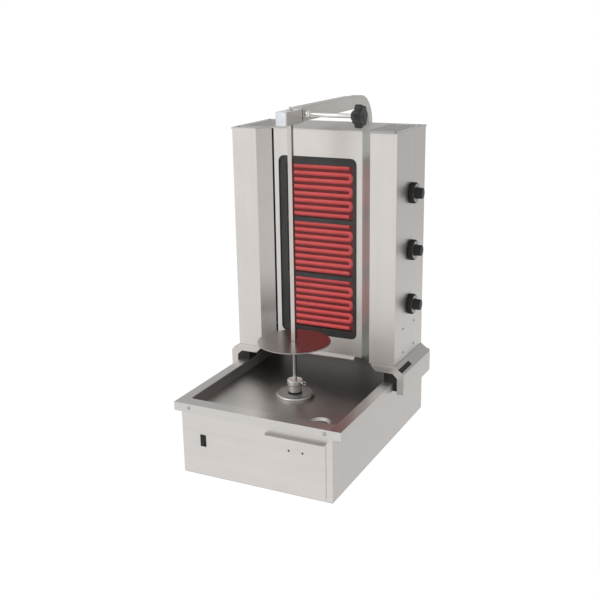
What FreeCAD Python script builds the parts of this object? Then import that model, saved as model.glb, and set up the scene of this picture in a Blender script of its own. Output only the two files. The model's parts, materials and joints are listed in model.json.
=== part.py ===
"""Vertical rotisserie broiler: an electric gyros grill with a sliding heater column.

Units are millimetres. +Z is up, the open front faces -Y, the control knobs are on the +X side.
The origin is the centre of the base's underside.
"""
import FreeCAD, Part
import math
import os
import re
import Sketcher

doc = FreeCAD.newDocument("broiler")

# ---------------------------------------------------------------- driving dimensions
DIMENSIONS = {
    # base cabinet
    "base_half": 226.5, "base_front": -345, "base_rear": 345, "base_top": 179.6, "sheet": 1.5,
    # drip tray that caps the base
    "rim_half": 250, "rim_top": 204.4, "rim_side": 30, "rim_front": 39, "rim_rear": 40,
    "basin_floor": 172, "boss_radius": 55, "boss_rise": 11.5, "drain_x": 142, "drain_y": -239,
    "drain_radius": 30, "drain_hole": 8, "drain_depth": 7,
    # spit and drive
    "spit_y": -102, "rod_radius": 6, "bar_side": 12, "run_gap": 0.06, "socket_low": 184.4,
    "socket_top": 222, "socket_radius": 19.5, "collar_radius": 22, "disc_radius": 103.5,
    "disc_low": 334, "disc_top": 337, "bar_top": 977, "tip_top": 986.5, "shaft_radius": 8,
    "gear_low": 74, "gear_top": 150, "gear_half": 42, "motor_radius": 36, "motor_low": 12,
    # heater column
    "column_half": 252, "column_front": 27, "column_rear": 257, "column_low": 252,
    "column_top": 908, "fold_x": 175, "recess_x": 139.3, "panel_y": 60, "wing_end": 57,
    "window_half": 121.5, "window_low": 304, "window_top": 832, "window_corner": 18,
    "glass_thick": 4, "glass_lap": 8, "lip_half": 118,
    "roof_thick": 2, "roof_lip": 1.4, "roof_rim": 4,
    # radiant heaters
    "heater_half": 112, "heater_y": 84, "heater_deep": 34, "coil_half": 95.5, "coil_radius": 5.4,
    "coil_bend": 6.5, "coil_pitch": 19.8, "zone_gap": 27.4, "coil_top": 801,
    # carriage saddle
    "saddle_in": 180, "saddle_out": 281, "saddle_low": 169, "saddle_bar": 22, "saddle_leg": 21,
    "saddle_shoulder": 231, "pad_low": 204.6, "pad_in": 220.5, "pad_foot": 178, "pad_long": 46,
    # knobs
    "knob_y": 147, "knob_high": 732.5, "knob_mid": 568.5, "knob_base": 407.5,
    "skirt_radius": 30, "skirt_thick": 14, "grip_radius": 16, "grip_end": 286, "spindle": 3,
    # arm
    "tube_half": 15, "tube_low": 949, "tube_top": 979, "post_rear": 439, "bend_radius": 90,
    "post_low": 40, "tube_front": -58, "wall": 2, "sleeve_half": 17, "sleeve_low": 943,
    "sleeve_top": 980.6, "sleeve_rear": 295, "head_front": -155, "head_rear": -62,
    "head_low": 940, "head_top": 976, "head_bore": 10.5,
    "clamp_y": -45, "clamp_z": 960.5, "nut_end": 33, "clamp_radius": 6,
    "star_near": 153, "star_far": 188, "star_radius": 31.5,
    "shaft_top": 200, "thumb_z": 214, "thumb_radius": 2.5, "ring_radius": 4.5, "ring_wire": 1,
    "plug_long": 82, "plug_wide": 14, "gland_x": -150, "gland_z": 60, "gland_radius": 8,
    "cord_radius": 4.5,
    # grease drawer and switch
    "drawer_left": 30, "drawer_right": 208, "drawer_low": 8, "drawer_top": 165,
    "drawer_lip": 15, "pan_left": 56, "pan_right": 196, "pan_low": 14, "pan_top": 140,
    "pan_rear": -70, "switch_x": -161, "switch_z": 104, "switch_half": 8.5, "switch_tall": 17,
    "pin_radius": 1.5,
}

sheet = doc.addObject("Spreadsheet::Sheet", "Dims")
for row, (alias, value) in enumerate(DIMENSIONS.items(), start=1):
    sheet.set(f"A{row}", alias)
    sheet.set(f"B{row}", str(value))
    sheet.setAlias(f"B{row}", alias)
doc.recompute()


def bound(text):
    """Turn 'rim_half - sheet' into an expression that reads the sheet."""
    return re.sub(r"[a-z_]+", lambda word: "Dims." + word.group(0), str(text))


def number(text):
    """Work the same text out as a number."""
    return float(sheet.evalExpression(bound(text)))


# ---------------------------------------------------------------- helpers
TURN = {
    "z": FreeCAD.Rotation(),
    "x": FreeCAD.Rotation(FreeCAD.Vector(0, 1, 0), 90),
    "y": FreeCAD.Rotation(FreeCAD.Vector(1, 0, 0), -90),
}
NODES = {}


def box(name, x, y, z):
    """A Part::Box between two corners; each argument is a (low, high) pair of expressions."""
    solid = doc.addObject("Part::Box", name)
    for size, place, (low, high) in zip(("Length", "Width", "Height"), "xyz", (x, y, z)):
        solid.setExpression(size, bound(f"({high}) - ({low})"))
        solid.setExpression(f"Placement.Base.{place}", bound(low))
    return solid


def around(centre, half):
    """The (low, high) pair that reaches half to each side of a centre."""
    return f"{centre} - ({half})", f"{centre} + {half}"


def rod(name, axis, span, centre, radius, far_radius=None):
    """A cylinder, or a cone where far_radius is given, along x, y or z."""
    solid = doc.addObject("Part::Cylinder" if far_radius is None else "Part::Cone", name)
    solid.setExpression("Radius" if far_radius is None else "Radius1", bound(radius))
    if far_radius is not None:
        solid.setExpression("Radius2", bound(far_radius))
    solid.setExpression("Height", bound(f"({span[1]}) - ({span[0]})"))
    solid.Placement = FreeCAD.Placement(FreeCAD.Vector(), TURN[axis])
    others = [letter for letter in "xyz" if letter != axis]
    solid.setExpression(f"Placement.Base.{axis}", bound(span[0]))
    for letter, text in zip(others, centre):
        solid.setExpression(f"Placement.Base.{letter}", bound(text))
    return solid


def fuse(name, *solids):
    result = doc.addObject("Part::MultiFuse", name)
    result.Shapes = list(solids)
    return result


def cut(name, base, *tools):
    result = doc.addObject("Part::Cut", name)
    result.Base = base
    result.Tool = tools[0] if len(tools) == 1 else fuse(name + "_tools", *tools)
    return result


def group(name, solids):
    """Separate identical solids that share one node."""
    result = doc.addObject("Part::Compound", name)
    result.Links = list(solids)
    return result


def mirrored(name, source):
    """A copy on the other side of the broiler's middle plane."""
    result = doc.addObject("Part::Mirroring", name)
    result.Source = source
    result.Normal = FreeCAD.Vector(1, 0, 0)
    return result


def origin_plane(body, role):
    return next(item for item in body.Origin.OriginFeatures if item.Role == role)


def outline(body, name, role, points):
    """A closed sketch whose corners are bound to the sheet."""
    sketch = body.newObject("Sketcher::SketchObject", name)
    sketch.AttachmentSupport = (origin_plane(body, role), [""])
    sketch.MapMode = "FlatFace"
    spots = [FreeCAD.Vector(number(u), number(v), 0) for u, v in points]
    for index, spot in enumerate(spots):
        sketch.addGeometry(Part.LineSegment(spot, spots[(index + 1) % len(spots)]), False)
    for index, (u, v) in enumerate(points):
        following = (index + 1) % len(points)
        sketch.addConstraint(Sketcher.Constraint("Coincident", index, 2, following, 1))
        for kind, text in (("DistanceX", u), ("DistanceY", v)):
            place = sketch.addConstraint(
                Sketcher.Constraint(kind, -1, 1, index, 1, number(text)))
            sketch.setExpression(f"Constraints[{place}]", bound(text))
    return sketch


def extruded(name, role, points, span):
    """A PartDesign body: one outline padded along the plane's own axis, from span low to high."""
    letter = {"XY_Plane": "z", "XZ_Plane": "y", "YZ_Plane": "x"}[role]
    body = doc.addObject("PartDesign::Body", name)
    sketch = outline(body, name + "_sketch", role, points)
    pad = body.newObject("PartDesign::Pad", name + "_pad")
    pad.Profile = sketch
    pad.setExpression("Length", bound(f"({span[1]}) - ({span[0]})"))
    pad.Reversed = role == "XZ_Plane"
    body.setExpression(f"Placement.Base.{letter}", bound(span[0]))
    return body


def rounded(name, source, radius, wanted):
    """Fillet the edges of source for which wanted(edge) is true."""
    doc.recompute()
    result = doc.addObject("Part::Fillet", name)
    result.Base = source
    picks = [i for i, edge in enumerate(source.Shape.Edges, start=1) if wanted(edge)]
    result.Edges = [(i, radius, radius) for i in picks]
    return result


def runs_along(letter):
    """True for straight edges along one axis."""
    def test(edge):
        if edge.Curve.TypeId != "Part::GeomLine":
            return False
        return abs(getattr(edge.tangentAt(edge.FirstParameter), letter)) > 0.999
    return test


def shaped(name, shape):
    """A Part::Feature, for swept shapes that neither primitives nor pads make."""
    result = doc.addObject("Part::Feature", name)
    result.Shape = shape
    return result


def node(label, thing):
    """Give a finished sub-part the name of its file."""
    thing.Label = label
    NODES[label] = thing
    return thing


def screw_head(name, axis, surface, outward, centre, radius=4, tall=2.2):
    """A pan head on a surface that faces along +axis (outward 1) or -axis (outward -1)."""
    shoulder = f"{surface} + {outward * tall * 0.5}"
    crown = f"{surface} + {outward * tall}"
    if outward > 0:
        low = rod(name + "_low", axis, (surface, shoulder), centre, f"{radius}")
        high = rod(name + "_high", axis, (shoulder, crown), centre, f"{radius}", f"{radius} * 0.7")
    else:
        low = rod(name + "_low", axis, (shoulder, surface), centre, f"{radius}")
        high = rod(name + "_high", axis, (crown, shoulder), centre, f"{radius} * 0.7", f"{radius}")
    return fuse(name, low, high)


# ---------------------------------------------------------------- base cabinet
def base_shell():
    outer = box("shell_outer", ("-base_half", "base_half"), ("base_front", "base_rear"),
                ("sheet", "base_top"))
    inner = box("shell_inner", ("sheet - base_half", "base_half - sheet"),
                ("base_front + sheet", "base_rear - sheet"), ("0", "base_top + 1"))
    drawer_way = box("drawer_way", ("pan_left - 2", "pan_right + 2"),
                     ("base_front - 1", "base_front + 3"), ("pan_low - 3", "pan_top + 12"))
    switch_way = box("switch_way", around("switch_x", "7.2"),
                     ("base_front - 1", "base_front + 3"), around("switch_z", "15.2"))
    gland_way = rod("gland_way", "y", ("base_rear - 3", "base_rear + 1"),
                    ("gland_x", "gland_z"), "gland_radius + 0.2")
    return cut("shell", outer, inner, drawer_way, switch_way, gland_way)


def bottom_plate():
    plate = box("bottom", ("-base_half", "base_half"), ("base_front", "base_rear"), ("0", "sheet"))
    slots = [
        box(f"bottom_slot_{i}", around("0", "40"), around(f"150 + {16 * i}", "2.5"), ("-1", "3"))
        for i in range(8)
    ]
    return cut("bottom_vented", plate, *slots)


def drip_tray():
    """One pressed pan: a skirted rim round a basin with a raised boss and a dished drain."""
    rim = box("rim_outer", ("-rim_half", "rim_half"), ("base_front", "base_rear"),
              ("base_top", "rim_top"))
    under = box("rim_under", ("sheet - rim_half", "rim_half - sheet"),
                ("base_front + sheet", "base_rear - sheet"), ("base_top + sheet", "rim_top - sheet"))
    ledge = box("rim_ledge", ("12 - base_half", "base_half - 12"),
                ("base_front + 12", "base_rear - 12"), ("base_top - 1", "base_top + sheet + 1"))
    basin = box("basin_outer", ("rim_side - rim_half - sheet", "rim_half - rim_side + sheet"),
                ("base_front + rim_front - sheet", "base_rear - rim_rear + sheet"),
                ("basin_floor - sheet", "rim_top - 0.1"))
    hollow = box("basin_hollow", ("rim_side - rim_half", "rim_half - rim_side"),
                 ("base_front + rim_front", "base_rear - rim_rear"), ("basin_floor", "rim_top + 1"))
    hollow = rounded("basin_corners", hollow, 10, runs_along("z"))
    basin = rounded("basin_outer_corners", basin, 11.5, runs_along("z"))
    boss = rounded("boss_dome", rod("boss", "z", ("basin_floor - sheet", "basin_floor + boss_rise"),
                                    ("0", "spit_y"), "boss_radius"), 6, top_rim)
    boss_under = rod("boss_under", "z", ("basin_floor - sheet - 1", "basin_floor + boss_rise - sheet"),
                     ("0", "spit_y"), "boss_radius - 6", "boss_radius - 8")
    shaft_way = rod("shaft_way", "z", ("basin_floor - 5", "basin_floor + 15"), ("0", "spit_y"),
                    "shaft_radius + 3")
    drain = ("drain_x", "drain_y")
    dish = rod("dish", "z", ("basin_floor - drain_depth - sheet", "basin_floor"), drain,
               "drain_radius - 6.5", "drain_radius + 1.5")
    dish_hollow = rod("dish_hollow", "z", ("basin_floor - drain_depth", "basin_floor + 0.01"), drain,
                      "drain_radius - 8", "drain_radius")
    drain_way = rod("drain_way", "z", ("basin_floor - 20", "basin_floor"), drain, "drain_hole")
    frame = cut("rim_frame", rim, under, ledge)
    pan = cut("pan_open", fuse("rim_and_basin", frame, basin), hollow)
    floor = fuse("floor_forms", pan, boss, dish)
    return cut("tray", floor, boss_under, shaft_way, dish_hollow, drain_way)


def top_rim(edge):
    """The upper circle of a standing cylinder."""
    if edge.Curve.TypeId != "Part::GeomCircle":
        return False
    return edge.CenterOfMass.z > number("basin_floor")


def seal():
    ring = rod("seal_ring", "z", ("basin_floor + boss_rise", "socket_low - 0.3"), ("0", "spit_y"),
               "socket_radius + 0.8", "socket_radius")
    return cut("seal_bored", ring, rod("seal_bore", "z", ("basin_floor", "socket_top"),
                                       ("0", "spit_y"), "shaft_radius + 0.3"))


# ---------------------------------------------------------------- drive
def gear_case():
    case = rounded("case_edges", box("case", around("0", "gear_half"), around("spit_y", "gear_half"),
                                     ("gear_low", "gear_top")), 6, runs_along("z"))
    nose = rod("case_nose", "z", ("gear_top", "basin_floor - 4"), ("0", "spit_y"), "18")
    bore = rod("case_bore", "z", ("gear_top - 32", "basin_floor"), ("0", "spit_y"),
               "shaft_radius + run_gap")
    return cut("case_bored", fuse("case_whole", case, nose), bore)


def motor_bracket():
    deck = box("bracket_deck", around("0", "50"), around("spit_y", "46"), ("gear_top", "gear_top + 3"))
    legs = [
        box(f"bracket_leg_{side}", around(f"{side * 48.5}", "1.5"), around("spit_y", "46"),
            ("sheet", "gear_top"))
        for side in (-1, 1)
    ]
    hole = rod("bracket_hole", "z", ("gear_top - 1", "gear_top + 5"), ("0", "spit_y"), "18.2")
    return cut("bracket_bored", fuse("bracket_whole", deck, *legs), hole)


def coupling():
    """The socket that grips the spit's foot, with a wider collar for its thumb screw."""
    lower = rod("socket_body", "z", ("socket_low", "socket_top - 17"), ("0", "spit_y"),
                "socket_radius")
    flare = rod("socket_flare", "z", ("socket_top - 17", "socket_top - 13"), ("0", "spit_y"),
                "socket_radius", "collar_radius")
    collar = rod("socket_collar", "z", ("socket_top - 13", "socket_top - 2"), ("0", "spit_y"),
                 "collar_radius")
    crown = rod("socket_crown", "z", ("socket_top - 2", "socket_top"), ("0", "spit_y"),
                "collar_radius", "collar_radius - 2")
    shaft_bore = rod("socket_shaft_bore", "z", ("socket_low - 1", "shaft_top + 0.1"),
                     ("0", "spit_y"), "shaft_radius + 0.02")
    rod_bore = rod("socket_rod_bore", "z", ("shaft_top", "socket_top + 1"), ("0", "spit_y"),
                   "rod_radius + run_gap")
    screw_bore = rod("socket_screw_bore", "x", ("0", "collar_radius + 5"), ("spit_y", "thumb_z"),
                     "thumb_radius + run_gap")
    whole = fuse("socket_whole", lower, flare, collar, crown)
    return cut("socket_bored", whole, shaft_bore, rod_bore, screw_bore)


def thumb_screw():
    """A short set screw with a pull ring."""
    shank = rod("thumb_shank", "x", ("rod_radius + 0.3", "collar_radius + 4"), ("spit_y", "thumb_z"),
                "thumb_radius")
    nut = rod("thumb_shoulder", "x", ("collar_radius + 0.3", "collar_radius + 3.5"),
              ("spit_y", "thumb_z"), "thumb_radius + 2")
    ring = doc.addObject("Part::Torus", "thumb_ring")
    ring.setExpression("Radius1", bound("ring_radius"))
    ring.setExpression("Radius2", bound("ring_wire"))
    ring.Placement = FreeCAD.Placement(FreeCAD.Vector(), TURN["y"])
    ring.setExpression("Placement.Base.x", bound("collar_radius + 3 + ring_radius"))
    ring.setExpression("Placement.Base.y", bound("spit_y"))
    ring.setExpression("Placement.Base.z", bound("thumb_z"))
    return fuse("thumb", shank, nut, ring)


def spit_rod():
    """A round foot below the disc and a square bar above it, ending in a point."""
    foot = rod("foot", "z", ("shaft_top + 0.2", "disc_top"), ("0", "spit_y"), "rod_radius")
    bar = box("bar", around("0", "bar_side / 2"), around("spit_y", "bar_side / 2"),
              ("disc_top", "bar_top"))
    tip = rod("tip", "z", ("bar_top", "tip_top"), ("0", "spit_y"), "bar_side / 2 - 0.5", "0.8")
    return fuse("spit_whole", foot, bar, tip)


def meat_disc():
    plate = rod("disc_plate", "z", ("disc_low", "disc_top"), ("0", "spit_y"), "disc_radius")
    bore = rod("disc_bore", "z", ("disc_low - 1", "disc_top + 1"), ("0", "spit_y"),
               "rod_radius + 0.02")
    relief = rod("disc_relief", "z", ("disc_top - 1.4", "disc_top"), ("0", "spit_y"),
                 "rod_radius + 0.02", "bar_side - 2")
    return cut("disc_bored", plate, bore, relief)


# ---------------------------------------------------------------- heater column
WING_OUTLINE = [
    ("column_half", "column_rear"), ("column_half", "column_front"), ("fold_x", "column_front"),
    ("recess_x", "wing_end"), ("recess_x + sheet * 0.64", "wing_end + sheet * 0.77"),
    ("fold_x + sheet * 0.36", "column_front + sheet"),
    ("column_half - sheet", "column_front + sheet"), ("column_half - sheet", "column_rear"),
]


def wing_right():
    """Side panel, front face and slanted reflector in one bent sheet, with the knob holes."""
    sheet_metal = extruded("wing", "XY_Plane", WING_OUTLINE, ("column_low", "column_top"))
    holes = [
        rod(f"spindle_way_{level}", "x", ("column_half - 5", "column_half + 5"),
            ("knob_y", level), "spindle + 2")
        for level in ("knob_high", "knob_mid", "knob_base")
    ]
    return cut("wing_bored", sheet_metal, *holes)


def wing_left():
    sheet_metal = extruded("wing_plain", "XY_Plane", WING_OUTLINE, ("column_low", "column_top"))
    return mirrored("wing_mirrored", sheet_metal)


def centre_panel():
    plate = box("panel", ("4 - recess_x", "recess_x + 10"), ("panel_y", "panel_y + sheet"),
                ("column_low + sheet + 0.1", "column_top"))
    window = box("window", around("0", "window_half"), ("panel_y - 2", "panel_y + 4"),
                 ("window_low", "window_top"))
    window = rounded("window_corners", window, number("window_corner"), runs_along("y"))
    return cut("panel_cut", plate, window)


LIP_OUTLINE = [
    ("panel_y - 1.2", "column_low + 3.5"), ("panel_y - 12", "column_low - 4"),
    ("panel_y - 12", "column_low - 7.5"), ("panel_y - 10.5", "column_low - 7.5"),
    ("panel_y - 10.5", "column_low - 4.9"), ("panel_y - 2.7", "column_low + 0.5"),
    ("panel_y - 2.7", "column_low - 1.6"), ("panel_y + 8", "column_low - 1.6"),
    ("panel_y + 8", "column_low - 0.1"), ("panel_y - 1.2", "column_low - 0.1"),
]


def drip_lip():
    """A sloping gutter edge with a turned-down hem, screwed under the column's floor."""
    return extruded("lip", "YZ_Plane", LIP_OUTLINE, ("0 - lip_half", "lip_half"))


def half_outline(half, rear, front, fold, recess, recess_y):
    """The column's plan, symmetric about the middle plane, with the recess at the front."""
    right = [(half, rear), (half, front), (fold, front), (recess, recess_y)]
    left = [(f"0 - ({x})", y) for x, y in reversed(right)]
    return right + left


def roof_plate():
    plan = half_outline("column_half + roof_lip", "column_rear + roof_lip",
                        "column_front - roof_lip", "fold_x + 1", "recess_x + 1", "wing_end - 2")
    plate = extruded("roof", "XY_Plane", plan, ("column_top", "column_top + roof_thick"))
    rims = [
        box(f"roof_rim_{side}", around(f"{side} * (column_half + roof_lip / 2 + 0.2)",
                                       "roof_lip / 2 - 0.2"),
            ("column_front - roof_lip", "column_rear + roof_lip"),
            ("column_top - roof_rim", "column_top"))
        for side in (-1, 1)
    ]
    back = box("roof_rim_back", ("0 - column_half - roof_lip", "column_half + roof_lip"),
               ("column_rear + 0.4", "column_rear + roof_lip"),
               ("column_top - roof_rim", "column_top"))
    slots = [
        box(f"roof_slot_{side}_{i}", around(f"{side * (158 + 14 * i)}", "3"),
            ("panel_y + 10", "column_rear - 30"), ("column_top - 1", "column_top + 5"))
        for side in (-1, 1) for i in range(6)
    ]
    return cut("roof_vented", fuse("roof_whole", plate, back, *rims), *slots)


def floor_plate():
    plan = half_outline("column_half - sheet - 0.1", "column_rear - sheet - 0.1",
                        "column_front + sheet + 0.1", "fold_x + 1.5", "recess_x + 2", "wing_end + 2")
    return extruded("floor", "XY_Plane", plan, ("column_low", "column_low + sheet"))


def back_panel():
    plate = box("back", around("0", "column_half - sheet - 0.1"),
                ("column_rear - sheet", "column_rear"), ("column_low + sheet + 0.1", "column_top"))
    louvres = [
        box(f"back_louvre_{column}_{i}", around(f"{column}", "60"),
            ("column_rear - 4", "column_rear + 1"), around(f"column_top - {60 + 18 * i}", "2.5"))
        for column in (-120, 120) for i in range(9)
    ]
    return cut("back_vented", plate, *louvres)


def glass():
    plate = box("glass_plate", around("0", "window_half + glass_lap"),
                ("panel_y + sheet + 0.1", "panel_y + sheet + 0.1 + glass_thick"),
                ("window_low - glass_lap", "window_top + glass_lap"))
    return rounded("glass_corners", plate, 14, runs_along("y"))


def glass_frame():
    """A dark enamelled plate behind the glass, with one opening for each heating zone."""
    ring = box("frame_plate", around("0", "window_half + 14"),
               ("panel_y + sheet + 0.2 + glass_thick", "heater_y - 14"),
               ("window_low - 14", "window_top + 14"))
    margin = "coil_radius + 1.6"
    holes = [
        box(f"frame_hole_{zone}", around("0", "coil_half + 12"), ("panel_y", "heater_y"),
            (f"{zone_top(zone)} - coil_pitch * 7 - ({margin})", f"{zone_top(zone)} + {margin}"))
        for zone in range(3)
    ]
    return cut("frame_cut", ring, *holes)


def zone_top(zone):
    """The height of the top bar of a heating zone, counted from the top."""
    return f"coil_top - {zone} * (coil_pitch * 7 + zone_gap)"


def heater_tray(zone):
    """An insulated tray, open at the front, that holds one heating coil."""
    top = zone_top(zone)
    low, high = f"{top} - coil_pitch * 7 - 12", f"{top} + 12"
    outer = box(f"tray_outer_{zone}", around("0", "heater_half"),
                ("heater_y - 13.8", "heater_y - 13.8 + heater_deep"), (low, high))
    hollow = box(f"tray_hollow_{zone}", around("0", "heater_half - 4"),
                 ("heater_y - 15", "heater_y + 4"), (f"{low} + 3", f"{high} - 3"))
    return cut(f"tray_open_{zone}", outer, hollow)


def coil(zone):
    """Eight level bars joined by square turns at alternate ends: one swept tube."""
    pitch, half, bend = number("coil_pitch"), number("coil_half"), number("coil_bend")
    depth, top = number("heater_y - 4"), number(zone_top(zone))
    reach = half - bend
    slack = bend * (1 - math.sqrt(0.5))
    edges = []
    for bar in range(8):
        level = top - pitch * bar
        side = 1 if bar % 2 else -1
        start, end = (FreeCAD.Vector(s * reach, depth, level) for s in (-side, side))
        edges.append(Part.LineSegment(start, end).toShape())
        if bar < 7:
            below = level - pitch
            upper, lower = (FreeCAD.Vector(side * half, depth, z) for z in (level - bend, below + bend))
            finish = FreeCAD.Vector(side * reach, depth, below)
            high, low = (FreeCAD.Vector(side * (half - slack), depth, z)
                         for z in (level - slack, below + slack))
            edges.append(Part.Arc(end, high, upper).toShape())
            edges.append(Part.LineSegment(upper, lower).toShape())
            edges.append(Part.Arc(lower, low, finish).toShape())
    path = Part.Wire(edges)
    start = edges[0].Vertexes[0].Point
    ring = Part.Wire(Part.makeCircle(number("coil_radius"), start, FreeCAD.Vector(1, 0, 0)))
    return shaped(f"coil_{zone}", path.makePipeShell([ring], True, False))


def regulator(level):
    case = box(f"regulator_{level}", ("column_half - 46", "column_half - 5"),
               around("knob_y", "22"), around(level, "24"))
    nose = rod(f"regulator_nose_{level}", "x", ("column_half - 5", "column_half - sheet - 0.1"),
               ("knob_y", level), "8")
    bore = rod(f"regulator_bore_{level}", "x", ("column_half - 16", "column_half"),
               ("knob_y", level), "spindle + run_gap")
    return cut(f"regulator_bored_{level}", fuse(f"regulator_whole_{level}", case, nose), bore)


def knob(level):
    """A ribbed skirt and a plain round grip."""
    skirt = rod(f"skirt_{level}", "x", ("column_half + 0.8", "column_half + 0.8 + skirt_thick"),
                ("knob_y", level), "skirt_radius", "skirt_radius - 1.5")
    grip = rod(f"grip_{level}", "x", ("column_half + 0.8 + skirt_thick", "grip_end"),
               ("knob_y", level), "grip_radius", "grip_radius - 0.8")
    bore = rod(f"knob_bore_{level}", "x", ("column_half", "grip_end - 10"), ("knob_y", level),
               "spindle + 0.02")
    flutes = []
    for i in range(12):
        turn = 2 * math.pi * i / 12
        across = f"knob_y + (skirt_radius + 1.6) * {math.cos(turn):.5f}"
        height = f"{level} + (skirt_radius + 1.6) * {math.sin(turn):.5f}"
        flutes.append(rod(f"flute_{level}_{i}", "x",
                          ("column_half", "column_half + 2 + skirt_thick"), (across, height), "4"))
    return cut(f"knob_cut_{level}", fuse(f"knob_whole_{level}", skirt, grip), bore, *flutes)


def spindle(level):
    return rod(f"spindle_{level}", "x", ("column_half - 15", "grip_end - 10.5"),
               ("knob_y", level), "spindle")


# ---------------------------------------------------------------- carriage saddle
SADDLE_OUTLINE = [
    ("saddle_in", "column_low"), ("column_half", "column_low"), ("saddle_out", "saddle_shoulder"),
    ("saddle_out", "saddle_low"), ("saddle_out - saddle_leg", "saddle_low"),
    ("saddle_out - saddle_leg", "saddle_shoulder - 14"),
    ("column_half - 6", "column_low - saddle_bar"), ("saddle_in + 15", "column_low - saddle_bar"),
    ("saddle_in", "column_low - 7"),
]


def saddle(name):
    """A folded box section that hooks over the rim; hollow and open at the rear."""
    solid = extruded(name, "XZ_Plane", SADDLE_OUTLINE, ("column_front", "column_rear"))
    doc.recompute()
    rear = max(range(len(solid.Shape.Faces)), key=lambda i: solid.Shape.Faces[i].CenterOfMass.y)
    hollow = doc.addObject("Part::Thickness", name + "_hollow")
    hollow.Faces = (solid, [f"Face{rear + 1}"])
    hollow.Value = -2
    hollow.Join = 2
    return hollow


def saddle_plug():
    """A dark plug in the slot of the saddle's sloping face."""
    slope = math.atan2(number("column_low - saddle_shoulder"), number("saddle_out - column_half"))
    plug = doc.addObject("Part::Box", "plug")
    plug.setExpression("Length", bound("plug_wide"))
    plug.setExpression("Width", bound("plug_long"))
    plug.Height = 1.2
    centre_x = "(column_half * 0.42 + saddle_out * 0.58)"
    centre_z = "(column_low * 0.42 + saddle_shoulder * 0.58)"
    plug.Placement = FreeCAD.Placement(
        FreeCAD.Vector(), FreeCAD.Rotation(FreeCAD.Vector(0, 1, 0), math.degrees(slope)))
    plug.setExpression("Placement.Base.x", bound(f"{centre_x} - plug_wide / 2 * {math.cos(slope):.5f}"))
    plug.setExpression("Placement.Base.y", bound("column_front + 2"))
    plug.setExpression("Placement.Base.z", bound(f"{centre_z} + plug_wide / 2 * {math.sin(slope):.5f}"))
    return plug


PAD_OUTLINE = [
    ("pad_in", "column_low - saddle_bar - 0.1"), ("pad_in", "pad_low"),
    ("rim_half + 0.3", "pad_low"), ("rim_half + 0.3", "pad_foot"),
    ("saddle_out - saddle_leg - 0.2", "pad_foot"),
    ("saddle_out - saddle_leg - 0.2", "saddle_shoulder - 14"),
    ("column_half - 6.2", "column_low - saddle_bar - 0.1"),
]


def slide_pads():
    """Angle-shaped guides that ride on the rim and against its side, front and rear."""
    right = [
        extruded("pad_front", "XZ_Plane", PAD_OUTLINE,
                 ("column_front + 1", "column_front + 1 + pad_long")),
        extruded("pad_rear", "XZ_Plane", PAD_OUTLINE,
                 ("column_rear - 1 - pad_long", "column_rear - 1")),
    ]
    return right + [mirrored(pad.Name + "_left", pad) for pad in right]


# ---------------------------------------------------------------- arm
def bent_tube(half, name):
    """Upright, bend and level run of a square section of the given half width."""
    middle_y, middle_z = number("post_rear - tube_half"), number("tube_top - tube_half")
    radius = number("bend_radius - tube_half")
    low, front = number("post_low"), number("tube_front")
    corner = FreeCAD.Vector(0, middle_y - radius, middle_z - radius)
    foot = FreeCAD.Vector(0, middle_y, low)
    rise = FreeCAD.Vector(0, middle_y, corner.z)
    turn = corner + FreeCAD.Vector(0, math.sqrt(0.5), math.sqrt(0.5)) * radius
    level = FreeCAD.Vector(0, corner.y, middle_z)
    nose = FreeCAD.Vector(0, front, middle_z)
    path = Part.Wire([
        Part.LineSegment(foot, rise).toShape(),
        Part.Arc(rise, turn, level).toShape(),
        Part.LineSegment(level, nose).toShape(),
    ])
    corners = [(-half, -half), (half, -half), (half, half), (-half, half), (-half, -half)]
    section = Part.makePolygon([FreeCAD.Vector(x, middle_y + y, low) for x, y in corners])
    return path.makePipeShell([section], True, False)


def arm_post():
    half = number("tube_half")
    return shaped("post", bent_tube(half, "outer").cut(bent_tube(half - number("wall"), "inner")))


def post_bracket():
    """A channel bolted to the back of the base; it carries the arm's upright."""
    plate = box("bracket_plate", around("0", "60"), ("base_rear", "base_rear + 3"),
                ("post_low", "base_top - 10"))
    cheeks = [
        box(f"bracket_cheek_{side}", around(f"{side} * (tube_half + 1.7)", "1.5"),
            ("base_rear + 3", "post_rear - 3"), ("post_low", "base_top - 15"))
        for side in (-1, 1)
    ]
    shelf = box("bracket_shelf", around("0", "tube_half + 3.2"), ("base_rear", "post_rear"),
                ("post_low - 3", "post_low"))
    return fuse("bracket_welded", plate, *cheeks, shelf)


def arm_sleeve():
    outer = box("sleeve_outer", around("0", "sleeve_half"), ("head_rear", "sleeve_rear"),
                ("sleeve_low", "sleeve_top"))
    outer = rounded("sleeve_edges", outer, 1.5, runs_along("y"))
    inner = box("sleeve_inner", around("0", "sleeve_half - wall"),
                ("head_rear - 1", "sleeve_rear + 1"), ("sleeve_low + 1.6", "tube_top"))
    way = rod("clamp_way", "x", ("0", "sleeve_half + 5"), ("clamp_y", "clamp_z"),
              "clamp_radius + 1")
    return cut("sleeve_bored", outer, inner, way)


def head_block():
    block = box("block", around("0", "sleeve_half - wall"), ("head_front", "head_rear"),
                ("head_low", "head_top"))
    block = rounded("block_edges", block, 2.5, front_edges)
    bore = rod("block_bore", "z", ("head_low - 1", "head_top + 1"), ("0", "spit_y"), "head_bore")
    return cut("block_bored", block, bore)


def front_edges(edge):
    """Edges in the front face of the head block."""
    return abs(edge.CenterOfMass.y - number("head_front")) < 0.01


def head_plates():
    return [
        box(f"head_plate_{side}", around(f"{side} * (sleeve_half - wall / 2)", "wall / 2"),
            ("head_front + 4", "head_rear"), ("head_low", "head_top"))
        for side in (-1, 1)
    ]


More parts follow.
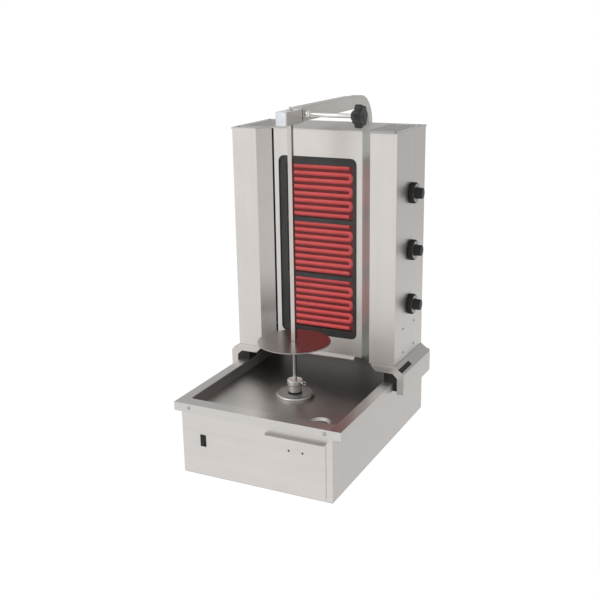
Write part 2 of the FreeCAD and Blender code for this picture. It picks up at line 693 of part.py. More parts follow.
def clamp_nut():
    nut = rod("nut_body", "x", ("sleeve_half", "nut_end - 5"), ("clamp_y", "clamp_z"), "11")
    collar = rod("nut_collar", "x", ("nut_end - 5", "nut_end"), ("clamp_y", "clamp_z"), "9", "8")
    bore = rod("nut_bore", "x", ("sleeve_half - 1", "nut_end + 1"), ("clamp_y", "clamp_z"),
               "clamp_radius + run_gap")
    return cut("nut_bored", fuse("nut_whole", nut, collar), bore)


def star_knob():
    """A hub with seven lobes and a domed crown."""
    centre = ("clamp_y", "clamp_z")
    hub = rod("star_hub", "x", ("star_near", "star_near + 10"), centre, "12", "16")
    disc = rod("star_disc", "x", ("star_near + 8", "star_far - 4"), centre, "star_radius - 7")
    crown = rod("star_crown", "x", ("star_far - 4", "star_far"), centre, "star_radius - 7", "14")
    lobes = []
    for i in range(7):
        turn = 2 * math.pi * i / 7
        across = f"clamp_y + (star_radius - 9) * {math.cos(turn):.5f}"
        height = f"clamp_z + (star_radius - 9) * {math.sin(turn):.5f}"
        lobes.append(rod(f"star_lobe_{i}", "x", ("star_near + 9", "star_far - 6"),
                         (across, height), "9"))
    return fuse("star_whole", hub, disc, crown, *lobes)


# ---------------------------------------------------------------- grease drawer and switch
def drawer_front():
    plate = box("drawer_plate", ("drawer_left", "drawer_right"),
                ("base_front - 1.8", "base_front - 0.3"), ("drawer_low", "drawer_top"))
    lip = box("drawer_grip", ("drawer_left + 6", "drawer_right"),
              ("base_front - drawer_lip", "base_front - 0.3"), ("drawer_top - 1.5", "drawer_top"))
    return fuse("drawer_face", plate, lip)


def drawer_pan():
    outer = box("pan_outer", ("pan_left", "pan_right"), ("base_front - 0.3", "pan_rear"),
                ("pan_low", "pan_top"))
    inner = box("pan_inner", ("pan_left + 1", "pan_right - 1"),
                ("base_front + 0.7", "pan_rear - 1"), ("pan_low + 1", "pan_top + 1"))
    return cut("pan", outer, rounded("pan_corners", inner, 8, runs_along("z")))


def drawer_runners():
    return [
        box(f"runner_{i}", around(f"{place}", "3"), ("base_front + 8", "pan_rear - 20"),
            ("sheet", "pan_low - 0.2"))
        for i, place in enumerate((64, 188))
    ]


def switch_bezel():
    plate = box("bezel_plate", around("switch_x", "switch_half"), ("base_front - 1.6", "base_front"),
                around("switch_z", "switch_tall"))
    body = box("bezel_body", around("switch_x", "7"), ("base_front", "base_front + 24"),
               around("switch_z", "15"))
    hollow = box("bezel_hollow", around("switch_x", "6"), ("base_front - 5", "base_front + 18"),
                 around("switch_z", "14.4"))
    pivot = rod("bezel_pivot", "x", around("switch_x", "8"), ("base_front + 2", "switch_z"),
                "pin_radius + run_gap")
    return cut("bezel", fuse("bezel_whole", plate, body), hollow, pivot)


def rocker():
    """The rocker, tilted to its off position about the pivot inside the bezel."""
    ends, middle, back = "0 - 5.6", "0 - 3.4", "3"
    profile = [(ends, "13"), (middle, "0"), (ends, "0 - 13"), (back, "0 - 13"), (back, "13")]
    body = extruded("rocker", "YZ_Plane", profile, ("0", "11.2"))
    tilt = FreeCAD.Rotation(FreeCAD.Vector(1, 0, 0), -8)
    body.setExpression("Placement.Base.x", bound("switch_x - 5.6"))
    body.setExpression("Placement.Base.y", bound("base_front + 2"))
    body.setExpression("Placement.Base.z", bound("switch_z"))
    body.Placement.Rotation = tilt
    pin = rod("rocker_pin", "x", around("switch_x", "6.6"), ("base_front + 2", "switch_z"),
              "pin_radius")
    return fuse("rocker_whole", body, pin)


def cable_gland():
    centre = ("gland_x", "gland_z")
    stem = rod("gland_stem", "y", ("base_rear - 12", "base_rear + 4"), centre, "gland_radius")
    nut = rod("gland_nut", "y", ("base_rear", "base_rear + 6"), centre, "gland_radius + 3.5")
    dome = rod("gland_dome", "y", ("base_rear + 6", "base_rear + 16"), centre,
               "gland_radius + 2.5", "gland_radius - 1")
    bore = rod("gland_bore", "y", ("base_rear - 13", "base_rear + 17"), centre, "cord_radius")
    return cut("gland", fuse("gland_whole", stem, nut, dome), bore)


# ---------------------------------------------------------------- fasteners
def rim_screws():
    front = [
        screw_head(f"rim_screw_{side}", "y", "base_front", -1, (f"{side * 204}", "base_top + 13"))
        for side in (-1, 1)
    ]
    sides = [
        screw_head(f"base_screw_{side}_{i}", "x", f"{side} * base_half", side,
                   (f"base_front + 37 + {154 * i}", "base_top - 20"), 3.2, 1.6)
        for side in (-1, 1) for i in range(5)
    ]
    return front + sides


def bracket_bolts():
    return [
        screw_head(f"bracket_bolt_{side}_{z}", "y", "base_rear + 3", 1, (f"{side * 45}", f"{z}"), 6, 5)
        for side in (-1, 1) for z in (70, 140)
    ]


def post_bolts():
    return [
        screw_head(f"post_bolt_{side}_{z}", "x", f"{side} * (tube_half + 3.2)", side,
                   ("post_rear - 16", f"{z}"), 6, 5)
        for side in (-1, 1) for z in (70, 140)
    ]


def column_screws():
    return [
        screw_head(f"column_screw_{side}_{y}_{z}", "x", f"{side} * column_half", side,
                   (f"{y}", f"{z}"), 2.8, 1.4)
        for side in (-1, 1) for y in (96, 186) for z in (274, 345)
    ]


def roof_screws():
    return [
        screw_head(f"roof_screw_{x}_{y}", "z", "column_top + roof_thick", 1, (f"{x}", f"{y}"), 3.2, 1.6)
        for x in (-240, 240) for y in (45, 235)
    ]


def drawer_screws():
    return [
        screw_head(f"drawer_screw_{x}", "y", "base_front - 1.8", -1, (f"{x}", "126.7"), 2.4, 1)
        for x in (102, 142)
    ]


# ---------------------------------------------------------------- assembly
node("base_shell", base_shell())
node("bottom_plate", bottom_plate())
node("drip_tray", drip_tray())
node("shaft_seal", seal())
node("gear_case", gear_case())
node("motor_can", rod("motor", "z", ("motor_low", "gear_low"), ("0", "spit_y"), "motor_radius"))
node("motor_bracket", motor_bracket())
node("drawer_runners", group("runners", drawer_runners()))
node("switch_bezel", switch_bezel())
node("cable_gland", cable_gland())
node("terminal_box", rounded("terminal_edges", box(
    "terminal", ("-205", "-120"), ("base_rear - 90", "base_rear - 20"), ("sheet", "90")),
    4, runs_along("z")))
node("rim_screws", group("rim_screw_set", rim_screws()))

node("post_bracket", post_bracket())
node("arm_post", arm_post())
node("arm_sleeve", arm_sleeve())
node("sleeve_liner", box("liner", around("0", "sleeve_half - wall"),
                         ("head_rear + 15", "sleeve_rear - 2"), ("sleeve_low + 1.6", "tube_low")))
node("head_block", head_block())
node("head_plates", group("head_plate_pair", head_plates()))
node("clamp_nut", clamp_nut())
node("bracket_bolts", group("bolt_set", bracket_bolts() + post_bolts()))

node("drive_shaft", rod("shaft", "z", ("gear_top - 30", "shaft_top"), ("0", "spit_y"),
                        "shaft_radius"))
node("spit_socket", coupling())
node("thumb_screw", thumb_screw())
node("spit_rod", spit_rod())
node("meat_disc", meat_disc())

node("wing_right", wing_right())
node("wing_left", wing_left())
node("centre_panel", centre_panel())
node("drip_lip", drip_lip())
node("roof_plate", roof_plate())
node("floor_plate", floor_plate())
node("back_panel", back_panel())
node("ceramic_glass", glass())
node("glass_frame", glass_frame())
for zone, place in enumerate(("top", "middle", "bottom")):
    node(f"heater_tray_{place}", heater_tray(zone))
    node(f"heating_coil_{place}", coil(zone))
for level, place in (("knob_high", "top"), ("knob_mid", "middle"), ("knob_base", "bottom")):
    node(f"regulator_{place}", regulator(level))
    node(f"spindle_{place}", spindle(level))
    node(f"knob_{place}", knob(level))
node("saddle_right", saddle("saddle_r"))
node("saddle_left", mirrored("saddle_l", saddle("saddle_source")))
plug = saddle_plug()
node("saddle_plugs", group("plug_pair", [plug, mirrored("plug_left", plug)]))
node("slide_pads", group("pad_set", slide_pads()))
node("column_screws", group("column_screw_set", column_screws() + roof_screws()))

node("clamp_rod", rod("clamp", "x", ("tube_half + 0.2", "star_near"), ("clamp_y", "clamp_z"),
                      "clamp_radius"))
node("star_knob", star_knob())

node("drawer_front", drawer_front())
node("drawer_pan", drawer_pan())
node("drawer_screws", group("drawer_screw_pair", drawer_screws()))
node("switch_rocker", rocker())

doc.recompute()
for thing in doc.Objects:
    if "Invalid" in thing.State or "Error" in thing.State:
        raise RuntimeError(f"{thing.Name} ({thing.Label}) failed: {thing.State}")

os.makedirs("parts", exist_ok=True)
for label, thing in NODES.items():
    shape = thing.Shape
    if shape.isNull() or not shape.isValid() or not shape.Solids:
        raise RuntimeError(f"{label} has no valid solid")
    shape.exportStep(f"parts/{label}.step")
    bounds = shape.BoundBox
    print(f"{label:22s} solids {len(shape.Solids):2d} volume {shape.Volume / 1000:9.1f} cm3  "
          f"x {bounds.XMin:7.1f} {bounds.XMax:7.1f}  y {bounds.YMin:7.1f} {bounds.YMax:7.1f}  "
          f"z {bounds.ZMin:6.1f} {bounds.ZMax:6.1f}")
print(len(NODES), "nodes")
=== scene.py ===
"""Looks of the vertical rotisserie broiler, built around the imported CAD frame.

Metres, +Z up, the open front faces -Y, the heat knobs are on +X.
"""
import bmesh
import bpy
import json
import math
from mathutils import Matrix, Vector


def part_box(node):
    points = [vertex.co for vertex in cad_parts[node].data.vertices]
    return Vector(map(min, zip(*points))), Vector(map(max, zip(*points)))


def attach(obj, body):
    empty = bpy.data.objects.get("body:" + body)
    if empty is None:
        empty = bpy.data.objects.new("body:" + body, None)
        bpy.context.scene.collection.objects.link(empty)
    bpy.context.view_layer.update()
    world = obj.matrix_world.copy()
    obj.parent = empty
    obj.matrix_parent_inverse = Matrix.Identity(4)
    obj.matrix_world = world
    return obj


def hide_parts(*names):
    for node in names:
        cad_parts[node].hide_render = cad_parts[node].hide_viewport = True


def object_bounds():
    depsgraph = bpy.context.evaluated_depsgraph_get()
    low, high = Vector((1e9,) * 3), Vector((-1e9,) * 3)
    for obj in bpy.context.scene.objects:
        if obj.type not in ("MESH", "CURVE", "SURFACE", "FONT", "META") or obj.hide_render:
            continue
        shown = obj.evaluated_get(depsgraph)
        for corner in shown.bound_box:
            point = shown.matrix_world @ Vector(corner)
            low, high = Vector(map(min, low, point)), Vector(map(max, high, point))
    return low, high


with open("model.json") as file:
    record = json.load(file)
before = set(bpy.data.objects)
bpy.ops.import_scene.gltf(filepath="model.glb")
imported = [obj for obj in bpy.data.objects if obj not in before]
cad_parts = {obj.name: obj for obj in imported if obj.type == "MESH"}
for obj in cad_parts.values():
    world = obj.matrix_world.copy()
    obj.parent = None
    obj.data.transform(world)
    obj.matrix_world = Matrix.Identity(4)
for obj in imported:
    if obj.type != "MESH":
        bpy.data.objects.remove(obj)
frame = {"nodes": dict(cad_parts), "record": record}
NODES = frame["nodes"]
CAD_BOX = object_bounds()
MM = 0.001


# ---------------------------------------------------------------- node-tree helpers
class Surface:
    """A material under construction: its node tree and its Principled shader."""

    def __init__(self, name, colour, metallic=0.0, roughness=0.5, **sockets):
        self.material = bpy.data.materials.new(name)
        self.material.use_nodes = True
        self.tree = self.material.node_tree
        self.shader = self.tree.nodes["Principled BSDF"]
        self.set("Base Color", (*colour, 1.0))
        self.set("Metallic", metallic)
        self.set("Roughness", roughness)
        for key, value in sockets.items():
            self.set(key.replace("_", " ").title().replace("Ior", "IOR"), value)

    def set(self, socket, value):
        self.shader.inputs[socket].default_value = value

    def node(self, kind, **settings):
        made = self.tree.nodes.new(kind)
        for key, value in settings.items():
            if key.startswith("in_"):
                made.inputs[key[3:].replace("_", " ").title()].default_value = value
            else:
                setattr(made, key, value)
        return made

    def link(self, source, target):
        self.tree.links.new(source, target)

    def place(self, scale=(1, 1, 1)):
        """Object coordinates, scaled: the same as row-frame metres times scale."""
        coords = self.node("ShaderNodeTexCoord")
        mapping = self.node("ShaderNodeMapping")
        mapping.inputs["Scale"].default_value = scale
        self.link(coords.outputs["Object"], mapping.inputs["Vector"])
        return mapping.outputs["Vector"]

    def noise(self, scale, detail=3.0, rough=0.5, stretch=(1, 1, 1)):
        texture = self.node("ShaderNodeTexNoise")
        texture.inputs["Scale"].default_value = scale
        texture.inputs["Detail"].default_value = detail
        texture.inputs["Roughness"].default_value = rough
        self.link(self.place(stretch), texture.inputs["Vector"])
        return texture.outputs["Fac"]

    def spread(self, value, low, high, from_low=0.3, from_high=0.7):
        """Map a 0..1 value to low..high."""
        ramp = self.node("ShaderNodeMapRange")
        for key, number in (("From Min", from_low), ("From Max", from_high),
                            ("To Min", low), ("To Max", high)):
            ramp.inputs[key].default_value = number
        self.link(value, ramp.inputs["Value"])
        return ramp.outputs["Result"]

    def tint(self, value, dark, light):
        """Mix two colours by a 0..1 value into the base colour."""
        mix = self.node("ShaderNodeMix", data_type="RGBA")
        self.link(value, mix.inputs["Factor"])
        mix.inputs["A"].default_value = (*dark, 1)
        mix.inputs["B"].default_value = (*light, 1)
        self.link(mix.outputs["Result"], self.shader.inputs["Base Color"])
        return mix

    def toward(self, direction, start, end):
        """0 to 1 as a face turns towards an axis such as "X" or "-X"."""
        facing = self.node("ShaderNodeSeparateXYZ")
        self.link(self.node("ShaderNodeTexCoord").outputs["Normal"], facing.inputs[0])
        turned = facing.outputs[direction[-1]]
        if direction.startswith("-"):
            turned = self.math("MULTIPLY", turned, -1.0)
        return self.spread(turned, 0, 1, start, end)

    def shade(self, mask, factor):
        """Multiply the base colour by a factor where the mask is 1."""
        socket = self.shader.inputs["Base Color"]
        mix = self.node("ShaderNodeMix", data_type="RGBA", blend_type="MULTIPLY")
        self.link(mask, mix.inputs["Factor"])
        self.link(socket.links[0].from_socket, mix.inputs["A"])
        mix.inputs["B"].default_value = (*factor, 1)
        self.link(mix.outputs["Result"], socket)

    def math(self, kind, a, b=None):
        node = self.node("ShaderNodeMath", operation=kind)
        for socket, value in zip(node.inputs, (a, b)):
            if value is None:
                continue
            if isinstance(value, (int, float)):
                socket.default_value = value
            else:
                self.link(value, socket)
        return node.outputs[0]

    def bump(self, value, strength, distance):
        bump = self.node("ShaderNodeBump")
        bump.inputs["Strength"].default_value = strength
        bump.inputs["Distance"].default_value = distance
        self.link(value, bump.inputs["Height"])
        self.link(bump.outputs["Normal"], self.shader.inputs["Normal"])
        return bump


GRAIN = {"x": (6, 900, 900), "y": (900, 6, 900), "z": (900, 900, 6)}


def steel(name, colour, grain="z", roughness=(0.30, 0.42), bump=0.10, stain=0.06, side_shade=()):
    """Stainless sheet: fine brushing along one axis, faint cloudy stains and wiped streaks.

    Each row of the last argument is a direction, the turn where it starts and ends, and a colour
    factor:
    faces turned that way come out darker, as painted shade on the sides that get less light.
    """
    s = Surface(name, colour, metallic=1.0)
    lines = s.noise(1.0, 4.0, 0.65, GRAIN[grain])
    soft = s.noise(9.0, 4.0, 0.6)
    streaks = s.noise(1.0, 2.0, 0.5, tuple(v / 30 for v in GRAIN[grain]))
    mixed = s.math("ADD", s.math("MULTIPLY", lines, 0.6), s.math("MULTIPLY", soft, 0.4))
    s.link(s.spread(mixed, roughness[0], roughness[1]), s.shader.inputs["Roughness"])
    shade = s.math("ADD", s.math("MULTIPLY", lines, 0.5),
                   s.math("ADD", s.math("MULTIPLY", soft, 0.3), s.math("MULTIPLY", streaks, 0.2)))
    dark = tuple(c * (1 - stain) for c in colour)
    light = tuple(min(1.0, c * (1 + stain)) for c in colour)
    s.tint(s.spread(shade, 0, 1, 0.35, 0.65), dark, light)
    # Painted shade: faces turned away from the light are darkened by the given factors.
    for direction, start, end, factor in side_shade:
        s.shade(s.toward(direction, start, end), factor)
    s.bump(lines, bump, 0.0002)
    return s.material


def moulded(name, colour, roughness=0.45, grain=0.25, size=900.0):
    """Injection-moulded plastic: fine spark-eroded texture and slight sheen changes."""
    s = Surface(name, colour, roughness=roughness)
    s.set("Specular IOR Level", 0.3)
    fine = s.noise(size, 3.0, 0.6)
    cloud = s.noise(18.0, 3.0, 0.5)
    s.link(s.spread(cloud, roughness - 0.06, roughness + 0.08), s.shader.inputs["Roughness"])
    s.tint(s.spread(cloud, 0, 1), tuple(c * 0.85 for c in colour), tuple(c * 1.2 for c in colour))
    s.bump(fine, grain, 0.0002)
    return s.material


def cast(name, colour, metallic, roughness, size):
    """A cast or painted surface with an orange-peel skin."""
    s = Surface(name, colour, metallic=metallic, roughness=roughness)
    peel = s.noise(size, 2.0, 0.5)
    cloud = s.noise(12.0, 3.0, 0.6)
    s.tint(s.spread(cloud, 0, 1), tuple(c * 0.8 for c in colour), tuple(c * 1.15 for c in colour))
    s.link(s.spread(peel, roughness - 0.05, roughness + 0.1), s.shader.inputs["Roughness"])
    s.bump(peel, 0.3, 0.0004)
    return s.material


def ceramic_glass():
    """Clear ceramic glass with a grey sheen and faint wiping marks."""
    s = Surface("ceramic_glass", (0.02, 0.02, 0.02), roughness=0.2)
    s.set("IOR", 1.6)
    s.set("Alpha", 0.14)
    smear = s.noise(14.0, 4.0, 0.6, (1, 1, 0.35))
    s.link(s.spread(smear, 0.16, 0.30), s.shader.inputs["Roughness"])
    s.material.surface_render_method = "BLENDED"
    return s.material


def glowing_coil():
    """Red-hot heating tube with a painted highlight: brighter on top of each bar, with slow
    changes along its length.
    """
    s = Surface("glowing_coil", (0.25, 0.03, 0.03), roughness=0.7)
    s.set("Emission Strength", 1.0)
    split = s.node("ShaderNodeSeparateXYZ")
    s.link(s.node("ShaderNodeTexCoord").outputs["Normal"], split.inputs[0])
    along = s.noise(16.0, 2.0, 0.5)
    # Painted highlight: the emission is stronger on faces turned up and darker below.
    top_highlight = s.spread(split.outputs["Z"], 0, 1, -0.75, 0.55)
    # heat mixes the painted highlight on top with the emission's slow changes along the tube.
    heat = s.math("ADD", s.math("MULTIPLY", top_highlight, 0.8), s.math("MULTIPLY", along, 0.3))
    mix = s.node("ShaderNodeMix", data_type="RGBA")
    s.link(heat, mix.inputs["Factor"])
    mix.inputs["A"].default_value = (0.22, 0.014, 0.016, 1)
    mix.inputs["B"].default_value = (0.65, 0.092, 0.090, 1)
    s.link(mix.outputs["Result"], s.shader.inputs["Emission Color"])
    return s.material


def heater_tray():
    """Black insulation with painted light: the coils' dark red light as an emission only on the
    wall behind the coils.
    """
    s = Surface("heater_tray", (0.02, 0.014, 0.014), roughness=0.85)
    low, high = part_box("heating_coil_top")
    front_margin, right_margin, left_margin = 3 * MM, 6.5 * MM, 5 * MM
    split = s.node("ShaderNodeSeparateXYZ")
    s.link(s.place(), split.inputs[0])
    behind = s.math("MULTIPLY", s.math("GREATER_THAN", split.outputs["Y"], low.y - front_margin),
                    s.toward("-Y", 0.4, 0.6))
    inside = s.math("MULTIPLY", s.math("LESS_THAN", split.outputs["X"], high.x + right_margin),
                    s.math("GREATER_THAN", split.outputs["X"], low.x + left_margin))
    coil_light_patches = s.noise(30.0, 3.0, 0.5)
    # Painted light: the coils' red light on the back wall, put in as a dark red emission.
    mask = s.math("MULTIPLY", s.math("MULTIPLY", behind, inside), s.spread(coil_light_patches, 0.8, 1.1))
    mix = s.node("ShaderNodeMix", data_type="RGBA")
    s.link(mask, mix.inputs["Factor"])
    mix.inputs["A"].default_value = (0, 0, 0, 1)
    mix.inputs["B"].default_value = (0.155, 0.012, 0.014, 1)
    s.link(mix.outputs["Result"], s.shader.inputs["Emission Color"])
    s.set("Emission Strength", 1.0)
    s.bump(s.noise(600.0, 3.0, 0.7), 0.4, 0.0005)
    return s.material


def tray_steel():
    """The pressed pan: satin sheet with painted shade, darker towards the rear, and a painted dark
    reflection on its inner left wall.

    The right side of the rim and the outer right side carry painted shade, darker than the rest.
    """
    colour = (0.60, 0.58, 0.56)
    s = Surface("tray_steel", colour, metallic=1.0)
    place = s.node("ShaderNodeSeparateXYZ")
    s.link(s.place(), place.inputs[0])
    facing = s.node("ShaderNodeSeparateXYZ")
    s.link(s.node("ShaderNodeTexCoord").outputs["Normal"], facing.inputs[0])
    low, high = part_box("drip_tray")
    skirt, left_wall, right_rim = 24 * MM, 40 * MM, 32 * MM
    cloud = s.noise(7.0, 3.0, 0.5)
    sunk = s.math("LESS_THAN", place.outputs["Z"], high.z - 2 * MM)
    within = s.math("LESS_THAN", s.math("ABSOLUTE", place.outputs["X"]), high.x - skirt)
    deep = s.math("MULTIPLY", sunk, within)
    # Painted shade: the sunk floor and walls darken towards the rear, except faces turned to the
    # front; the inner left wall gets a painted dark reflection.
    across = s.math("ADD", place.outputs["Y"], s.math("MULTIPLY", place.outputs["X"], 0.48))
    rear_shade = s.spread(s.math("ADD", across, s.math("MULTIPLY", cloud, 0.08)), 0.0, 0.90, -0.27, 0.05)
    left = s.math("LESS_THAN", place.outputs["X"], low.x + left_wall)
    wall = s.math("MULTIPLY", s.math("MULTIPLY", left, s.math(
        "GREATER_THAN", facing.outputs["X"], 0.8)), 0.74)
    not_front_facing = s.spread(facing.outputs["Y"], 0.0, 1.0, -0.75, -0.05)
    shade = s.math("MULTIPLY", s.math("MULTIPLY", deep, not_front_facing), s.math("MAXIMUM", rear_shade, wall))
    s.tint(shade, colour, (0.070, 0.061, 0.056))
    # Painted shade on the top of the right rim, strongest at the front, and on the outer right
    # side.
    rim_right = s.math("MULTIPLY", s.math("GREATER_THAN", place.outputs["X"], high.x - right_rim),
                       s.math("GREATER_THAN", facing.outputs["Z"], 0.5))
    right_rim_shade = s.math("MULTIPLY", rim_right,
                         s.spread(place.outputs["Y"], 1.0, 0.1, low.y, -60 * MM))
    outer = s.math("MAXIMUM", right_rim_shade, s.math(
        "MULTIPLY", s.math("SUBTRACT", 1.0, within), s.math(
            "GREATER_THAN", facing.outputs["X"], 0.5)))
    s.shade(outer, (0.78, 0.78, 0.78))
    # Where the inner left wall carries painted shade it is made non-metallic, so it shows the
    # painted dark grey.
    s.link(s.math("SUBTRACT", 1.0, s.math("MULTIPLY", deep, wall)), s.shader.inputs["Metallic"])
    fine = s.noise(1.0, 3.0, 0.6, (12, 500, 500))
    s.link(s.spread(fine, 0.34, 0.42), s.shader.inputs["Roughness"])
    s.bump(fine, 0.03, 0.0002)
    return s.material


def square_on(direction, factor):
    """A row of painted side shade: only faces turned squarely that way, darkened by a grey factor.
    """
    return direction, 0.84, 0.98, (factor, factor, factor)


STEEL = (0.635, 0.605, 0.582)
MATERIALS = {
    # The rows at the end of these steels are painted shade: darker right sides (+X) on the upright
    # sheets, the base, the saddles and the spit, slanted sheets turned to -X darkened with a
    # slight cool tint, and the top of the drawer's lip.
    "brushed_steel": steel("brushed_steel_upright", STEEL, "z", side_shade=[
        square_on("X", 0.82), ("-X", 0.3, 0.6, (0.80, 0.87, 0.87))]),
    "brushed_level": steel("brushed_steel_level", STEEL, "x", side_shade=[square_on("X", 0.74)]),
    "saddle_steel": steel("saddle_steel", (0.58, 0.555, 0.535), "y",
                          side_shade=[square_on("X", 0.80)]),
    "drawer_steel": steel("drawer_steel", STEEL, "x", side_shade=[square_on("Z", 0.50)]),
    "spit_steel": steel("spit_steel", (0.56, 0.52, 0.495), "z", (0.20, 0.30), 0.04,
                        side_shade=[square_on("X", 0.45)]),
    "socket_steel": steel("socket_steel", (0.80, 0.78, 0.76), "z", (0.30, 0.42), 0.04),
    "roof_steel": steel("roof_steel", (0.50, 0.48, 0.46), "y", (0.30, 0.40), 0.05),
    "satin_steel": steel("satin_steel", (0.56, 0.54, 0.52), "y", (0.30, 0.40), 0.05),
    "arm_steel": steel("arm_steel", (0.54, 0.515, 0.49), "y", (0.30, 0.40), 0.05, 0.1),
    "disc_steel": steel("disc_steel", (0.345, 0.325, 0.315), "x", (0.26, 0.33), 0.02, 0.03),
    "tray_steel": tray_steel(),
    "frame_enamel": cast("frame_enamel", (0.050, 0.047, 0.045), 0.0, 0.6, 500.0),
    "dial_ring": steel("dial_ring", (0.26, 0.25, 0.235), "z", (0.22, 0.32), 0.03),
    "side_screw": steel("side_screw", (0.22, 0.21, 0.20), "x", (0.30, 0.40), 0.05),
    "galvanised_steel": cast("galvanised_steel", (0.46, 0.47, 0.48), 1.0, 0.42, 60.0),
    "polished_steel": steel("polished_steel", (0.72, 0.71, 0.69), "z", (0.14, 0.24), 0.04),
    "fastener_steel": steel("fastener_steel", (0.60, 0.59, 0.58), "x", (0.22, 0.34), 0.05),
    "dark_screw": cast("dark_screw", (0.03, 0.03, 0.03), 0.8, 0.4, 900.0),
    "cast_aluminium": cast("cast_aluminium", (0.50, 0.50, 0.51), 0.9, 0.5, 400.0),
    "motor_paint": cast("motor_paint", (0.05, 0.055, 0.06), 0.0, 0.4, 300.0),
    "rubber": moulded("rubber", (0.016, 0.016, 0.016), 0.7, 0.3, 600.0),
    "black_plastic": moulded("black_plastic", (0.013, 0.012, 0.011), 0.48),
    "phenolic": moulded("phenolic", (0.05, 0.035, 0.03), 0.5),
    "white_ptfe": moulded("white_ptfe", (0.66, 0.68, 0.71), 0.38, 0.08, 500.0),
    "star_plastic": moulded("star_plastic", (0.030, 0.030, 0.030), 0.42, 0.12, 500.0),
    "insulation_foil": cast("insulation_foil", (0.72, 0.70, 0.68), 0.0, 0.6, 80.0),
    "ceramic_glass": ceramic_glass(),
    "heater_insulation": heater_tray(),
    "glowing_coil": glowing_coil(),
}
SPECIAL = {
    "base_shell": "brushed_level", "drawer_front": "drawer_steel", "arm_sleeve": "arm_steel",
    "saddle_right": "saddle_steel", "saddle_left": "saddle_steel", "spit_rod": "spit_steel",
    "spit_socket": "socket_steel",
    "roof_plate": "roof_steel",
    "arm_post": "arm_steel", "meat_disc": "disc_steel", "drip_tray": "tray_steel",
    "head_plates": "arm_steel", "glass_frame": "frame_enamel",
}
EDGE_RADIUS = {
    "drip_tray": 1.2, "drip_lip": 0.3, "saddle_left": 1.0, "saddle_right": 1.0, "arm_post": 1.5,
    "star_knob": 1.2, "switch_bezel": 0.6, "switch_rocker": 0.6, "head_block": 0.0,
    "glass_frame": 0.3, "meat_disc": 0.6, "heater_tray_top": 0.4,
}
SMOOTH_ANGLE = math.radians(32)


def dress(node, piece):
    """Give a CAD node its material and softly rounded edges."""
    slots = {row["node"]: row["material_slot"] for row in frame["record"]["subparts"]}
    material = MATERIALS[SPECIAL.get(node, slots[node])]
    piece.data.materials.clear()
    piece.data.materials.append(material)
    weld = piece.modifiers.new("weld", "WELD")
    weld.merge_threshold = 0.00002
    radius = EDGE_RADIUS.get(node, 0.35)
    if radius:
        bevel = piece.modifiers.new("edges", "BEVEL")
        bevel.width = radius * MM
        bevel.segments = 2
        bevel.limit_method = "ANGLE"
        bevel.angle_limit = SMOOTH_ANGLE
        bevel.harden_normals = False
        bevel.use_clamp_overlap = True


for node, piece in NODES.items():
    dress(node, piece)


# ---------------------------------------------------------------- modelled pieces
AXES = {
    "x": (Vector((1, 0, 0)), Vector((0, 1, 0)), Vector((0, 0, 1))),
    "y": (Vector((0, 1, 0)), Vector((0, 0, 1)), Vector((1, 0, 0))),
    "z": (Vector((0, 0, 1)), Vector((1, 0, 0)), Vector((0, 1, 0))),
}


BLOCK_FACES = ((0, 2, 3, 1), (4, 5, 7, 6), (0, 1, 5, 4), (2, 6, 7, 3), (0, 4, 6, 2), (1, 3, 7, 5))


def turned(mesh, centre, axis, profile, steps=64, wave=None, outward=1):
    """Revolve (height, radius) rows, in mm, about an axis.

    wave(angle) scales each radius, except in rows that have a third entry.
    """
    along, across, up = AXES[axis]
    rings = []
    for height, radius, *flat in profile:
        ring = []
        for i in range(steps):
            angle = 2 * math.pi * i / steps
            reach = radius * (wave(angle) if wave and not flat else 1.0) * MM
            ring.append(mesh.verts.new(centre + along * (outward * height * MM)
                                       + across * (reach * math.cos(angle))
                                       + up * (reach * math.sin(angle))))
        rings.append(ring)
    for lower, upper in zip(rings, rings[1:]):
        for i in range(steps):
            j = (i + 1) % steps
            mesh.faces.new((lower[i], lower[j], upper[j], upper[i]))
    mesh.faces.new(list(reversed(rings[0])))
    mesh.faces.new(rings[-1])


def block(mesh, low, high, turn=None, about=None):
    """A box between two corners, turned about a point."""
    corners = [Vector((x, y, z)) for z in (low[2], high[2]) for y in (low[1], high[1])
               for x in (low[0], high[0])]
    if turn is not None:
        corners = [about + turn @ (corner - about) for corner in corners]
    verts = [mesh.verts.new(corner) for corner in corners]
    for face in BLOCK_FACES:
        mesh.faces.new([verts[i] for i in face])


def piece(name, build, body, slot, material, edge=0.0, smooth=40):
    """Turn a filled bmesh into an object that rides on a body."""
    mesh = bmesh.new()
    build(mesh)
    bmesh.ops.recalc_face_normals(mesh, faces=mesh.faces)
    data = bpy.data.meshes.new(name)
    mesh.to_mesh(data)
    mesh.free()
    made = bpy.data.objects.new(name, data)
    bpy.context.scene.collection.objects.link(made)
    data.materials.append(MATERIALS[material])
    data.shade_smooth()
    data.set_sharp_from_angle(angle=math.radians(smooth))
    if edge:
        bevel = made.modifiers.new("edges", "BEVEL")
        bevel.width = edge * MM
        bevel.segments = 2
        bevel.limit_method = "ANGLE"
        bevel.angle_limit = math.radians(smooth)
    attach(made, body)
    return made


def middle(node):
    low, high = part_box(node)
    return (low + high) / 2


